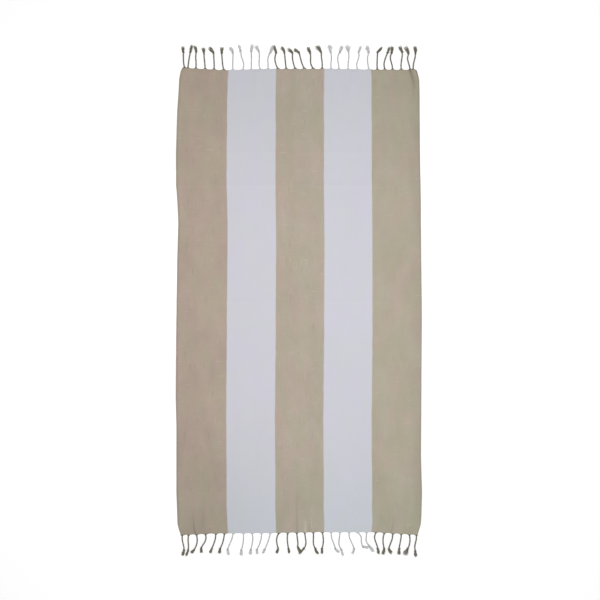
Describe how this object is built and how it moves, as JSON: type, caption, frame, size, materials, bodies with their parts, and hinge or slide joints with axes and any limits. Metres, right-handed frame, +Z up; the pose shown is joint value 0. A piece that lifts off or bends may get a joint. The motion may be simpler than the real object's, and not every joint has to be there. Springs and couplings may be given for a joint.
{
  "type": "hammam towel",
  "caption": "Flat woven cotton hammam towel with broad lengthwise stripes, laid out flat, with a twisted and knotted fringe along each short end.",
  "frame": {"origin": "centre of the towel on the surface that it lies on", "axes": "+Y along the length towards the head end, +X across towards the right side as seen from above, +Z up out of the cloth's face"},
  "size_m": [0.9053, 1.8778, 0.0081],
  "materials": {
    "striped_cotton": "matt flat weave, sand stripes with slubs and plain white stripes",
    "sand_yarn": "matt twisted cotton yarn in the sand colour",
    "white_yarn": "matt twisted cotton yarn in a cool white"
  },
  "bodies": {
    "root": {"cloth": "striped_cotton", "fringe_head_sand_left": "sand_yarn", "fringe_head_white_left": "white_yarn", "fringe_head_sand_middle": "sand_yarn", "fringe_head_white_right": "white_yarn", "fringe_head_sand_right": "sand_yarn", "fringe_foot_sand_left": "sand_yarn", "fringe_foot_white_left": "white_yarn", "fringe_foot_sand_middle": "sand_yarn", "fringe_foot_white_right": "white_yarn", "fringe_foot_sand_right": "sand_yarn"}
  },
  "joints": []
}
